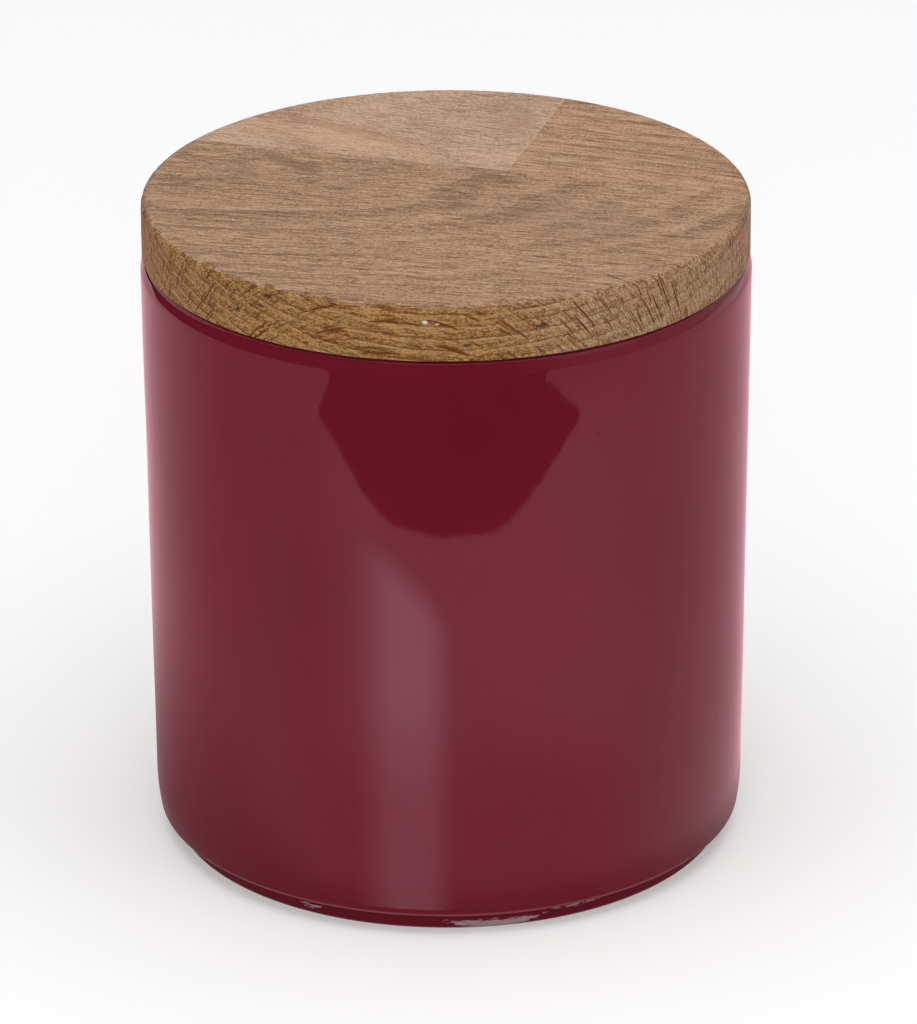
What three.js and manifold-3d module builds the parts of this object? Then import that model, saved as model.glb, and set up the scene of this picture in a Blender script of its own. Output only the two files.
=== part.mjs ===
// Glazed stoneware storage jar with a turned oak lid and a silicone seal.
// Millimetres, +Z up. The origin is the centre of the circle that the foot stands on,
// and +X runs along the grain of the lid.

import * as THREE from 'three';
import { mergeVertices } from 'three/addons/utils/BufferGeometryUtils.js';
import Module from 'manifold-3d';

// Jar: outside
const JAR_HEIGHT = 111.8; // foot to rim
const RIM_DIAMETER = 110.2; // outside, where the wall meets the rounded rim
const WALL_LEAN = 1.1; // how far the wall leans in between the rim and the heel
const HEEL_HEIGHT = 11; // where the wall starts to turn in
const HEEL_TUCK = 0.7; // how far the heel turns in on its way down
const HEEL_EDGE_ROUND = 0.9;
const FOOT_HEIGHT = 3.7;
const FOOT_INSET = 2.7; // from the edge of the heel in to the foot
const FOOT_ROUND = 1;
const FOOT_RING_WIDTH = 6;
const FOOT_RECESS = 1.6; // depth of the hollow inside the foot ring
const RIM_OUTER_ROUND = 2;
const RIM_INNER_ROUND = 1.5;

// Jar: inside
const WALL = 5;
const FLOOR = 5.4;
const FLOOR_FILLET = 6;

// Lid: one glued panel, turned to a flange and a plug
const FLANGE_THICKNESS = 10;
const FLANGE_TOP_ROUND = 2.1;
const FLANGE_LOWER_BEVEL = 0.5;
const LID_SET_BACK = 0.1; // how far the flange stays inside the outline of the rim
const PLUG_DEPTH = 12; // below the flange
const PLUG_BEVEL = 1;
const PLUG_CLEARANCE = 2.6; // from the plug out to the wall of the mouth, crossed by the seal

// Lid: the joints of the panel
const GLUE_LINE_OFFSET = 14; // of the long joint, behind the axis
const END_JOINT_OFFSET = 7.4; // of the joint across the rear course, to the right of the axis
const GLUE_FILM = 0.15;
const FINGER_LENGTH = 8;
const FINGER_PITCH = 4;
const FINGER_TIP = 0.8;

// Seal: a silicone ring with lips
const GROOVE_DEPTH = 2.2;
const GROOVE_WIDTH = 7;
const GROOVE_BELOW_FLANGE = 2.6; // wood left between the flange and the groove
const SEAL_LIPS = 3;
const LIP_ROOT = 1.1; // thickness of a lip where it leaves the band
const LIP_TIP = 0.5;
const LIP_RISE = 0.5; // how far a lip slants up towards its tip
const SEAL_BAND_PROUD = 0.3; // how far the band stands out of its groove

// Clearances
const SEAT_GAP = 0.3; // between the flange and the rim
const FIT_GAP = 0.3; // between the seal and what it touches

// Roundness of the turned pieces
const FACETS = 64;
const ARC_STEPS = 5;

const wasm = await Module();
wasm.setup();

// Heights and radii that follow from the sizes above
const rimRadius = RIM_DIAMETER / 2;
const heelRadius = rimRadius - WALL_LEAN;
const heelEdgeRadius = heelRadius - HEEL_TUCK;
const footRadius = heelEdgeRadius - FOOT_INSET;
const floorHeight = FOOT_RECESS + FLOOR;
const seatHeight = JAR_HEIGHT + SEAT_GAP;
const lidTop = seatHeight + FLANGE_THICKNESS;
const plugBottom = seatHeight - PLUG_DEPTH;
const lidRadius = rimRadius - LID_SET_BACK;
const grooveTop = seatHeight - GROOVE_BELOW_FLANGE;
const grooveBottom = grooveTop - GROOVE_WIDTH;

// The outer wall is a straight line from the rim to the heel.
function outerRadius(height) {
  const fromRim = (JAR_HEIGHT - height) / (JAR_HEIGHT - HEEL_HEIGHT);
  return rimRadius - WALL_LEAN * fromRim;
}

function mouthRadius(height) {
  return outerRadius(height) - WALL;
}

const plugRadius = mouthRadius(plugBottom) - PLUG_CLEARANCE;
const grooveRadius = plugRadius - GROOVE_DEPTH;

// A quarter of a circle from one point to the next. The corner is where the two straight sides would meet.
function quarterRound(path, from, corner, to) {
  const bulge = 0.5523;
  path.lineTo(from.x, from.y);
  const leave = from.clone().lerp(corner, bulge);
  const arrive = to.clone().lerp(corner, bulge);
  path.bezierCurveTo(leave.x, leave.y, arrive.x, arrive.y, to.x, to.y);
}

function point(radius, height) {
  return new THREE.Vector2(radius, height);
}

// Turns a profile of radius and height round the Z axis.
function turned(path) {
  const geometry = new THREE.LatheGeometry(path.getPoints(ARC_STEPS), FACETS);
  return geometry.rotateX(Math.PI / 2);
}

// A closed solid, ready to be cut.
function solidFrom(geometry) {
  const bare = geometry.clone();
  bare.deleteAttribute('normal');
  bare.deleteAttribute('uv');
  const merged = mergeVertices(bare, 1e-4);
  const corners = merged.index.array;
  const faces = [];
  for (let i = 0; i < corners.length; i += 3) {
    const [a, b, c] = corners.slice(i, i + 3);
    if (a !== b && b !== c && c !== a) faces.push(a, b, c);
  }
  const vertProperties = new Float32Array(merged.attributes.position.array);
  return new wasm.Manifold(new wasm.Mesh({ numProp: 3, vertProperties, triVerts: new Uint32Array(faces) }));
}

function geometryFrom(solid) {
  const { vertProperties, triVerts } = solid.getMesh();
  const geometry = new THREE.BufferGeometry();
  geometry.setAttribute('position', new THREE.BufferAttribute(new Float32Array(vertProperties), 3));
  geometry.setIndex(new THREE.BufferAttribute(new Uint32Array(triVerts), 1));
  geometry.computeVertexNormals();
  return geometry;
}

// The vessel: up the outside from the hollow under the foot, over the rim and down the inside to the floor.
function jarBody() {
  const ringInner = footRadius - FOOT_RING_WIDTH;
  const edgeHeight = FOOT_HEIGHT + HEEL_EDGE_ROUND;
  const rimOutside = outerRadius(JAR_HEIGHT - RIM_OUTER_ROUND);
  const rimInside = mouthRadius(JAR_HEIGHT - RIM_INNER_ROUND);
  const filletTop = floorHeight + FLOOR_FILLET;
  const inside = mouthRadius(filletTop);

  const path = new THREE.Path();
  path.moveTo(0, FOOT_RECESS);
  path.lineTo(ringInner - FOOT_RECESS, FOOT_RECESS);
  path.lineTo(ringInner, 0);
  quarterRound(path, point(footRadius - FOOT_ROUND, 0), point(footRadius, 0), point(footRadius, FOOT_ROUND));
  path.lineTo(footRadius, FOOT_HEIGHT);
  quarterRound(
    path,
    point(heelEdgeRadius - HEEL_EDGE_ROUND, FOOT_HEIGHT),
    point(heelEdgeRadius, FOOT_HEIGHT),
    point(heelEdgeRadius, edgeHeight),
  );
  const heelTurn = edgeHeight + (HEEL_HEIGHT - edgeHeight) / 2;
  path.quadraticCurveTo(outerRadius(heelTurn), heelTurn, heelRadius, HEEL_HEIGHT);
  quarterRound(
    path,
    point(rimOutside, JAR_HEIGHT - RIM_OUTER_ROUND),
    point(rimOutside, JAR_HEIGHT),
    point(rimOutside - RIM_OUTER_ROUND, JAR_HEIGHT),
  );
  quarterRound(
    path,
    point(rimInside + RIM_INNER_ROUND, JAR_HEIGHT),
    point(rimInside, JAR_HEIGHT),
    point(rimInside, JAR_HEIGHT - RIM_INNER_ROUND),
  );
  quarterRound(
    path,
    point(inside, filletTop),
    point(inside, floorHeight),
    point(inside - FLOOR_FILLET, floorHeight),
  );
  path.lineTo(0, floorHeight);
  return turned(path);
}

// The lid as it comes off the lathe, before it is told apart into its staves.
function lidBlank() {
  const path = new THREE.Path();
  path.moveTo(0, plugBottom);
  path.lineTo(plugRadius - PLUG_BEVEL, plugBottom);
  path.lineTo(plugRadius, plugBottom + PLUG_BEVEL);
  path.lineTo(plugRadius, grooveBottom);
  path.lineTo(grooveRadius, grooveBottom);
  path.lineTo(grooveRadius, grooveTop);
  path.lineTo(plugRadius, grooveTop);
  path.lineTo(plugRadius, seatHeight);
  path.lineTo(lidRadius - FLANGE_LOWER_BEVEL, seatHeight);
  path.lineTo(lidRadius, seatHeight + FLANGE_LOWER_BEVEL);
  quarterRound(
    path,
    point(lidRadius, lidTop - FLANGE_TOP_ROUND),
    point(lidRadius, lidTop),
    point(lidRadius - FLANGE_TOP_ROUND, lidTop),
  );
  path.lineTo(0, lidTop);
  return solidFrom(turned(path));
}

// A block that covers the lid from one end of the grain to a joint. Its right side is cut into tapered
// fingers, stacked through the thickness of the panel, so that the joint is a straight line on the top.
// The block is larger all round by the given film of glue.
function fingeredBlock(film) {
  const reach = 2 * lidRadius;
  const thickness = lidTop - plugBottom;
  const fingers = Math.max(1, Math.floor(thickness / FINGER_PITCH) - 1);
  const shoulder = (thickness - fingers * FINGER_PITCH) / 2;
  const root = END_JOINT_OFFSET + film;
  const tip = root + FINGER_LENGTH;
  const halfTip = FINGER_TIP / 2 + film;
  const halfRoot = (FINGER_PITCH - FINGER_TIP) / 2 + film;

  const outline = new THREE.Shape();
  outline.moveTo(-reach, plugBottom - FLANGE_THICKNESS);
  outline.lineTo(root, plugBottom - FLANGE_THICKNESS);
  for (let i = 0; i < fingers; i += 1) {
    const middle = plugBottom + shoulder + (i + 0.5) * FINGER_PITCH;
    outline.lineTo(root, middle - halfRoot);
    outline.lineTo(tip, middle - halfTip);
    outline.lineTo(tip, middle + halfTip);
    outline.lineTo(root, middle + halfRoot);
  }
  outline.lineTo(root, lidTop + FLANGE_THICKNESS);
  outline.lineTo(-reach, lidTop + FLANGE_THICKNESS);
  const block = new THREE.ExtrudeGeometry(outline, { depth: 2 * reach, bevelEnabled: false });
  return solidFrom(block.rotateX(Math.PI / 2).translate(0, reach, 0));
}

// A block that covers everything in front of a line across the lid.
function frontBlock(line) {
  const reach = 2 * lidRadius;
  const block = new THREE.BoxGeometry(2 * reach, reach, 2 * lidTop);
  return solidFrom(block.translate(0, line - reach / 2, lidTop));
}

// The ring: a band that sits in the groove, with lips that reach out to the wall of the mouth.
function sealRing() {
  const bandInner = grooveRadius + FIT_GAP;
  const bandOuter = plugRadius + SEAL_BAND_PROUD;
  const bandBottom = grooveBottom + FIT_GAP;
  const bandTop = grooveTop - FIT_GAP;
  const lipStep = (bandTop - bandBottom - LIP_RISE) / SEAL_LIPS;

  const path = new THREE.Path();
  path.moveTo(bandInner, bandBottom);
  path.lineTo(bandOuter, bandBottom);
  for (let i = 0; i < SEAL_LIPS; i += 1) {
    const rootHeight = bandBottom + (i + 0.5) * lipStep;
    const tipHeight = rootHeight + LIP_RISE;
    const tipRadius = mouthRadius(tipHeight) - FIT_GAP;
    path.lineTo(bandOuter, rootHeight - LIP_ROOT / 2);
    path.lineTo(tipRadius, tipHeight - LIP_TIP / 2);
    path.lineTo(tipRadius, tipHeight + LIP_TIP / 2);
    path.lineTo(bandOuter, rootHeight + LIP_ROOT / 2);
  }
  path.lineTo(bandOuter, bandTop);
  path.lineTo(bandInner, bandTop);
  path.lineTo(bandInner, bandBottom);
  return turned(path);
}

const glaze = new THREE.MeshStandardMaterial({ color: 0x6a2030, roughness: 0.12, metalness: 0 });
const oakFront = new THREE.MeshStandardMaterial({ color: 0xa9845f, roughness: 0.6, metalness: 0 });
const oakRearLeft = new THREE.MeshStandardMaterial({ color: 0xb08d68, roughness: 0.6, metalness: 0 });
const oakRearRight = new THREE.MeshStandardMaterial({ color: 0xa27f5c, roughness: 0.6, metalness: 0 });
const silicone = new THREE.MeshStandardMaterial({ color: 0xe4e1d8, roughness: 0.45, metalness: 0 });

function piece(name, geometry, material) {
  const mesh = new THREE.Mesh(geometry, material);
  mesh.name = name;
  return mesh;
}

const blank = lidBlank();
const rearCourse = blank.subtract(frontBlock(GLUE_LINE_OFFSET + GLUE_FILM));

const lid = new THREE.Group();
lid.add(piece('lid_stave_front', geometryFrom(blank.intersect(frontBlock(GLUE_LINE_OFFSET))), oakFront));
lid.add(piece('lid_stave_rear_left', geometryFrom(rearCourse.intersect(fingeredBlock(0))), oakRearLeft));
lid.add(piece('lid_stave_rear_right', geometryFrom(rearCourse.subtract(fingeredBlock(GLUE_FILM))), oakRearRight));
lid.add(piece('seal_ring', sealRing(), silicone));

const jar = new THREE.Group();
jar.add(piece('jar_body', jarBody(), glaze));
jar.add(lid);

export default jar;
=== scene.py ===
# %% [markdown]
# A storage jar with an oak lid
#
# The jar is one stoneware pot under a dark burgundy gloss glaze. Its lid is a thick oak disc, glued up from
# three staves, turned round, and pushed into the mouth on a plug with a pale lip seal.
# The measured solids come in first and stay fixed: they give the sizes. Each one is then replaced by a finer
# surface with a procedural finish.

import math

import bmesh
import bpy
import numpy as np
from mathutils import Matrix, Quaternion, Vector


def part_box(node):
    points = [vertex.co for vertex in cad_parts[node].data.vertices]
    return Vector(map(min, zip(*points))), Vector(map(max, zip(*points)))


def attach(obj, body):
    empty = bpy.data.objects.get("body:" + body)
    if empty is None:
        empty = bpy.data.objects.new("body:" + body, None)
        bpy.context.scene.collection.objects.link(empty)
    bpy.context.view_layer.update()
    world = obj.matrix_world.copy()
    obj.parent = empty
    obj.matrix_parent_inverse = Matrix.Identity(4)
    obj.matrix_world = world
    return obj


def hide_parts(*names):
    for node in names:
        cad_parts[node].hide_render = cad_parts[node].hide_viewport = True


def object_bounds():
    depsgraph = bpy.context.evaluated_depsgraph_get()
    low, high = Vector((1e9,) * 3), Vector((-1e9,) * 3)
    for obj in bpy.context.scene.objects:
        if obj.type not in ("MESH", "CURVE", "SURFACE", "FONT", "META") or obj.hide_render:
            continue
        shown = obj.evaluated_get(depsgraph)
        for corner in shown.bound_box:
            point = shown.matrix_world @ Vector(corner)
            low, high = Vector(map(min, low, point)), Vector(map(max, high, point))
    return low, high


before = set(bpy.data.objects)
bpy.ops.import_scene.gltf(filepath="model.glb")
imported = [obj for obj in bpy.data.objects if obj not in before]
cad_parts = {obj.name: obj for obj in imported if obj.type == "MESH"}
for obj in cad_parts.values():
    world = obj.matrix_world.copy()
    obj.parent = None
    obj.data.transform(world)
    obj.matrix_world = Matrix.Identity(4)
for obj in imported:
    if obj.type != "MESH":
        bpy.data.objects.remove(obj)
solid_low, solid_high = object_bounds()

MM = 0.001
pot_low, pot_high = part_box("jar_body")
front_low, front_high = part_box("lid_stave_front")
left_low, left_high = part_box("lid_stave_rear_left")
right_low, right_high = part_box("lid_stave_rear_right")
seal_low, seal_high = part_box("seal_ring")


def rounded_mm(lengths):
    """Lengths in millimetres, for printing."""
    return [round(length / MM, 2) for length in lengths]


measured = {
    "all": (solid_low, solid_high),
    "pot": (pot_low, pot_high),
    "front stave": (front_low, front_high),
    "rear left stave": (left_low, left_high),
    "rear right stave": (right_low, right_high),
    "seal": (seal_low, seal_high),
}
for label, (low, high) in measured.items():
    print(label, "from", rounded_mm(low), "to", rounded_mm(high), "mm")

# %% [markdown]
# Camera
#
# The picture was taken with a long lens from well above the table, so the jar hardly narrows with distance.
# A camera could be pushed about by eye. Fitting the outlines of the rim, the foot and the lid instead gives
# its height angle, its distance and a roll of a quarter of a degree, and those few numbers are kept here.

# %% Place the camera
CAMERA_AZIMUTH = math.radians(16.4)
CAMERA_ELEVATION = math.radians(23.38)
CAMERA_DISTANCE = 1.4
CAMERA_LENS = 269.5
CAMERA_SENSOR = 36
CAMERA_ROLL = -0.0049
CAMERA_FAR_END = 20
AIM_RIGHT = 2.0 * MM
AIM_HEIGHT = 59.85 * MM

towards_camera = Vector((
    math.sin(CAMERA_AZIMUTH) * math.cos(CAMERA_ELEVATION),
    -math.cos(CAMERA_AZIMUTH) * math.cos(CAMERA_ELEVATION),
    math.sin(CAMERA_ELEVATION),
))
picture_right = Vector((math.cos(CAMERA_AZIMUTH), math.sin(CAMERA_AZIMUTH), 0))
aim = picture_right * AIM_RIGHT + Vector((0, 0, AIM_HEIGHT))

camera = bpy.data.objects.new("camera", bpy.data.cameras.new("camera"))
bpy.context.scene.collection.objects.link(camera)
camera.data.lens = CAMERA_LENS
camera.data.sensor_width = CAMERA_SENSOR
camera.data.clip_end = CAMERA_FAR_END
camera.location = aim + towards_camera * CAMERA_DISTANCE
camera.rotation_mode = "QUATERNION"
level_look = (-towards_camera).to_track_quat("-Z", "Y")
camera.rotation_quaternion = level_look @ Quaternion((0, 0, 1), CAMERA_ROLL)
bpy.context.scene.camera = camera
bpy.context.scene.view_settings.view_transform = "Standard"
print("camera at", [round(v, 3) for v in camera.location])

# %% [markdown]
# Meshes from arrays
#
# Every piece here is a surface over a grid of two parameters: one runs along an outline, the other round the
# piece. Blender wants a list of corners and a list of faces. numpy makes both as whole arrays, and rows that
# shrink to one point, at the axis, are merged afterwards so that each pole is closed.

# %% Grid to mesh
MERGE_DISTANCE = 1e-7
MILLILITRE = 1e-6


def link_mesh(name, corners, faces, smooth_angle):
    """Make an object from arrays of corners and four-cornered faces, merge doubled corners and turn all
    faces outwards. Edges that bend more than smooth_angle, in degrees, stay crisp."""
    mesh = bpy.data.meshes.new(name)
    mesh.from_pydata(corners.reshape(-1, 3), [], faces.reshape(-1, 4).tolist())
    work = bmesh.new()
    work.from_mesh(mesh)
    bmesh.ops.remove_doubles(work, verts=work.verts, dist=MERGE_DISTANCE)
    bmesh.ops.dissolve_degenerate(work, edges=work.edges, dist=MERGE_DISTANCE)
    bmesh.ops.recalc_face_normals(work, faces=work.faces)
    volume = round(work.calc_volume(signed=True) / MILLILITRE, 2)
    open_edges = sum(not edge.is_manifold for edge in work.edges)
    work.to_mesh(mesh)
    work.free()
    mesh.shade_smooth()
    mesh.set_sharp_from_angle(angle=math.radians(smooth_angle))
    piece = bpy.data.objects.new(name, mesh)
    bpy.context.scene.collection.objects.link(piece)
    print(name, len(mesh.polygons), "faces,", volume, "ml,", open_edges, "open edges")
    return piece


def ring_faces(rows, columns, close_rows=False):
    """Faces of a grid whose columns close into a ring: each face joins a point, the next one round, and the
    same two on the next row. With close_rows the last row joins the first."""
    row = np.arange(rows if close_rows else rows - 1)[:, None]
    column = np.arange(columns)[None, :]
    next_row = (row + 1) % rows
    next_column = (column + 1) % columns
    corners = (row * columns + column, row * columns + next_column,
               next_row * columns + next_column, next_row * columns + column)
    return np.stack(np.broadcast_arrays(*corners), axis=-1)


print("a grid of 3 rows and 4 columns has", ring_faces(3, 4).size // 4, "faces")

# %% [markdown]
# Outlines with rounded corners
#
# A turner thinks of a profile as straight runs with eased corners. So a profile is written as its sharp
# corners, each with the radius it is rounded to, and one function puts in the arcs. That keeps a profile as
# short as the drawing of it would be, and every edge catches light, because no real edge is perfectly sharp.

# %% Round an outline
ARC_STEP = math.radians(7)


def corner_arc(before, corner, after, radius):
    """Points of the arc that touches both sides of a corner. Its centre lies on the bisector, radius divided
    by the sine of half the angle away, and it sweeps from one touching point to the other."""
    if radius == 0:
        return corner[None, :]
    back = (before - corner) / np.linalg.norm(before - corner)
    ahead = (after - corner) / np.linalg.norm(after - corner)
    half = math.acos(np.clip(back @ ahead, -1, 1)) / 2
    centre = corner + (back + ahead) / np.linalg.norm(back + ahead) * radius / math.sin(half)
    first = corner + back * radius / math.tan(half) - centre
    last = corner + ahead * radius / math.tan(half) - centre
    start = math.atan2(first[1], first[0])
    sweep = (math.atan2(last[1], last[0]) - start + math.pi) % (2 * math.pi) - math.pi
    angle = start + np.linspace(0, sweep, 2 + int(abs(sweep) / ARC_STEP))[:, None]
    return centre + radius * np.hstack([np.cos(angle), np.sin(angle)])


def rounded(corners, spacing, closed=False):
    """The outline through corners of (radius, height, rounding), with an arc at each one and no straight
    step longer than spacing: every stretch is cut into equal shares."""
    corner = np.array([c[:2] for c in corners], float)
    rounding = [c[2] for c in corners]
    before = np.roll(corner, 1, axis=0)
    after = np.roll(corner, -1, axis=0)
    bends = [corner_arc(*four) for four in zip(before, corner, after, rounding)]
    path = np.concatenate(bends + [bends[0][:1]] if closed else bends)
    step = np.diff(path, axis=0)
    share = np.maximum(1, np.ceil(np.linalg.norm(step, axis=1) / spacing)).astype(int)
    run = np.repeat(np.arange(len(step)), share)
    place = (np.arange(len(run)) - np.repeat(np.cumsum(share) - share, share)) / share[run]
    spaced = path[run] + place[:, None] * step[run]
    return spaced if closed else np.concatenate([spaced, path[-1:]])


square = [(0, 0, 1), (4, 0, 1), (4, 4, 1), (0, 4, 1)]
print("a rounded square has", len(rounded(square, spacing=1, closed=True)), "points")

# %% [markdown]
# The glazed pot
#
# A thrown or cast pot is a profile turned about its axis, and that is how it is made here: half a section,
# from the middle of the underside round the foot, up the wall, over the rim and down to the floor inside.
# A real wall is never quite true, so the radius wanders by less than a tenth of a millimetre. That is too
# little to see as shape, but a gloss glaze shows it at once as slightly wavy reflections.

# %% Profile of the pot
WALL = 5.0 * MM
WALL_LEAN = 1.1 * MM
POT_FLOOR = 5.4 * MM
FLOOR_FILLET = 6.0 * MM
FOOT_HEIGHT = 3.7 * MM
FOOT_INSET = 2.7 * MM
FOOT_ROUND = 1.0 * MM
FOOT_CROOK = 0.5 * MM
FOOT_RING_WIDTH = 6.0 * MM
FOOT_RECESS = 1.6 * MM
HEEL_HEIGHT = 11.0 * MM
HEEL_TUCK = 0.7 * MM
HEEL_EDGE_ROUND = 0.9 * MM
HEEL_CURVE = 33.0 * MM
RIM_OUTER_ROUND = 1.6 * MM
RIM_INNER_ROUND = 1.5 * MM
SHOULDER_HEIGHT = 2.7 * MM
SHOULDER_TUCK = 0.85 * MM
SHOULDER_CURVE = 3.5 * MM
PROFILE_SPACING = 1.7 * MM

pot_height = pot_high.z
shoulder = pot_height - SHOULDER_HEIGHT
lean_rate = WALL_LEAN / (pot_height - HEEL_HEIGHT)
floor_height = FOOT_RECESS + POT_FLOOR


def wall_radius(height):
    """Outside radius of the wall: widest at the shoulder, less the lean for each bit of height below."""
    return pot_high.x - lean_rate * (shoulder - height)


heel_edge = wall_radius(HEEL_HEIGHT) - HEEL_TUCK
heel_bend = (FOOT_HEIGHT + HEEL_EDGE_ROUND + HEEL_HEIGHT) / 2
foot_radius = heel_edge - FOOT_INSET
ring_inner = foot_radius - FOOT_RING_WIDTH

pot_profile = rounded([
    (0, FOOT_RECESS, 0),
    (ring_inner - FOOT_RECESS, FOOT_RECESS, FOOT_CROOK),
    (ring_inner, 0, FOOT_CROOK),
    (foot_radius, 0, FOOT_ROUND),
    (foot_radius, FOOT_HEIGHT, FOOT_CROOK),
    (heel_edge, FOOT_HEIGHT, HEEL_EDGE_ROUND),
    (wall_radius(heel_bend), heel_bend, HEEL_CURVE),
    (wall_radius(shoulder), shoulder, SHOULDER_CURVE),
    (wall_radius(pot_height) - SHOULDER_TUCK, pot_height, RIM_OUTER_ROUND),
    (wall_radius(pot_height) - WALL, pot_height, RIM_INNER_ROUND),
    (wall_radius(floor_height) - WALL, floor_height, FLOOR_FILLET),
    (0, floor_height, 0),
], PROFILE_SPACING)
print("pot profile of", len(pot_profile), "points, widest", round(pot_profile[:, 0].max() / MM, 3), "mm")

# %% Turn the pot
POT_COLUMNS = 288
POT_CREASE = 50
WALL_WANDER = 0.09 * MM
WANDER_SEED = 3
WANDER_WAVES = 16
WANDER_ROUND = 6
WANDER_UP = 4


def ripple(seed, waves, *along):
    """A smooth wobble mostly between -1 and 1: a sum of sine waves, each with a seeded phase and a seeded
    whole number of turns, up to a limit, along each of the given coordinates in radians."""
    chance = np.random.default_rng(seed)
    swell = 0
    for _ in range(waves):
        turns = [chance.integers(1, limit + 1) * chance.choice([-1, 1]) for _, limit in along]
        phase = chance.uniform(0, 2 * np.pi)
        swell = swell + np.sin(sum(n * value for n, (value, _) in zip(turns, along)) + phase)
    return swell / math.sqrt(2 * waves)


def full_turn(columns):
    """The angles of so many columns, evenly round the axis."""
    return np.linspace(0, 2 * np.pi, columns, endpoint=False)


def turned(radius, angle, height):
    """Points of a turned surface: radius times (sine, minus cosine) of an angle from the front; height."""
    across, deep = radius * np.sin(angle), -radius * np.cos(angle)
    return np.stack(np.broadcast_arrays(across, deep, height), axis=-1)


def pot_grid():
    """Corners of the pot: its profile, turned. The radius is drawn in by a smooth wobble that fades out
    towards the foot and the rim."""
    angle = full_turn(POT_COLUMNS)
    radius, height = pot_profile[:, :1], pot_profile[:, 1:]
    up = height / pot_height
    fade = np.sqrt(np.clip(np.sin(np.pi * up), 0, 1)) * (radius > ring_inner)
    wobble = ripple(WANDER_SEED, WANDER_WAVES, (angle, WANDER_ROUND), (2 * np.pi * up, WANDER_UP))
    radius = radius - WALL_WANDER * fade * (0.5 + 0.5 * np.clip(wobble, -1, 1))
    return turned(radius, angle, height)


pot = link_mesh("glazed_pot", pot_grid(), ring_faces(len(pot_profile), POT_COLUMNS), POT_CREASE)

# %% [markdown]
# The oak staves
#
# The lid is glued up from one wide stave in front and two short ones behind, and only then turned round.
# The two behind meet end to end, where a glue joint only holds if it is cut into fingers. One way is to
# turn a disc and cut it with booleans. Here each stave is drawn directly: at every level of the lid's
# profile its outline is a piece of the turned edge and straight runs along its glue joints. Each corner
# keeps its own column of the grid, so the edges at the joints come out clean.

# %% The joint across the rear course
FINGER_LENGTH = 8.0 * MM
FINGER_PITCH = 4.0 * MM
FINGER_TIP = 0.8 * MM
FINGERS = 4
GLUE_FILM = 0.02 * MM

lid_top = front_high.z
plug_bottom = front_low.z
glue_line = front_high.y
end_joint = left_high.x - FINGER_LENGTH
finger_base = plug_bottom + (lid_top - plug_bottom - FINGERS * FINGER_PITCH) / 2


def finger_halves(film):
    """Half the height of a finger at its root and at its tip, with a film of glue on each flank."""
    return np.array([FINGER_PITCH - FINGER_TIP, FINGER_TIP]) / 2 + film


def finger_edge(height, film):
    """How far right the left stave reaches at each height: the end joint's line, plus a tapered finger that
    stands out fully within half a tip of its middle and dies away at its root, one finger to each pitch."""
    along = (height - finger_base) / FINGER_PITCH
    off_middle = np.abs(along - np.floor(along) - 0.5) * FINGER_PITCH
    half_root, half_tip = finger_halves(film)
    standing = np.clip((half_root - off_middle) / (half_root - half_tip), 0, 1)
    return end_joint + film + FINGER_LENGTH * standing * ((along > 0) & (along < FINGERS))


def finger_bends():
    """The heights at which the flanks of the fingers start and end, with and without glue, from the top."""
    middle = finger_base + FINGER_PITCH * (np.arange(FINGERS) + 0.5)
    half = np.concatenate([finger_halves(0), finger_halves(GLUE_FILM)])
    return np.sort(np.add.outer(middle, np.concatenate([half, -half])).ravel())[::-1]


print("fingers reach from", round(end_joint / MM, 2), "mm, and bend at", len(finger_bends()), "heights")

# %% Levels of the lid
LID_SHRINKAGE = 0.25 * MM
SEAT_GAP = 0.3 * MM
REST_GAP = 0.04 * MM
FLANGE_TOP_ROUND = 1.4 * MM
FLANGE_LOWER_ROUND = 0.3 * MM
PLUG_CLEARANCE = 2.6 * MM
PLUG_ROUND = 1.0 * MM
GROOVE_DEPTH = 2.2 * MM
GROOVE_WIDTH = 7.0 * MM
GROOVE_BELOW_FLANGE = 2.6 * MM
TOOL_ROUND = 0.25 * MM
LEVEL_SPACING = 0.6 * MM
FLAT_RINGS = 8

lid_radius = front_high.x - LID_SHRINKAGE
flange_under = pot_height + REST_GAP
plug_radius = wall_radius(plug_bottom) - WALL - PLUG_CLEARANCE
groove_radius = plug_radius - GROOVE_DEPTH
groove_top = pot_height + SEAT_GAP - GROOVE_BELOW_FLANGE
groove_bottom = groove_top - GROOVE_WIDTH


def upright(radius, top, top_round, bottom, bottom_round):
    """Corners down an upright face: its rounded ends, and between them every height where a finger bends."""
    between = [height for height in finger_bends() if bottom + bottom_round < height < top - top_round]
    bends = [(radius, height, 0) for height in between]
    return [(radius, top, top_round), *bends, (radius, bottom, bottom_round)]


lid_outline = rounded([
    (lid_radius - 2 * FLANGE_TOP_ROUND, lid_top, 0),
    *upright(lid_radius, lid_top, FLANGE_TOP_ROUND, flange_under, FLANGE_LOWER_ROUND),
    *upright(plug_radius, flange_under, TOOL_ROUND, groove_top, TOOL_ROUND),
    *upright(groove_radius, groove_top, TOOL_ROUND, groove_bottom, TOOL_ROUND),
    *upright(plug_radius, groove_bottom, TOOL_ROUND, plug_bottom, PLUG_ROUND),
    (plug_radius - 2 * PLUG_ROUND, plug_bottom, 0),
], LEVEL_SPACING)

flat_share = np.linspace(0, 1, FLAT_RINGS, endpoint=False)
level_radius = np.pad(lid_outline[:, 0], FLAT_RINGS, mode="edge")[:, None]
level_height = np.pad(lid_outline[:, 1], FLAT_RINGS, mode="edge")[:, None]
level_share = np.concatenate([flat_share, np.ones(len(lid_outline)), flat_share[::-1]])[:, None]
print("lid in", len(level_radius), "levels, plug", round(plug_radius / MM, 2), "mm from the axis")

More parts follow.
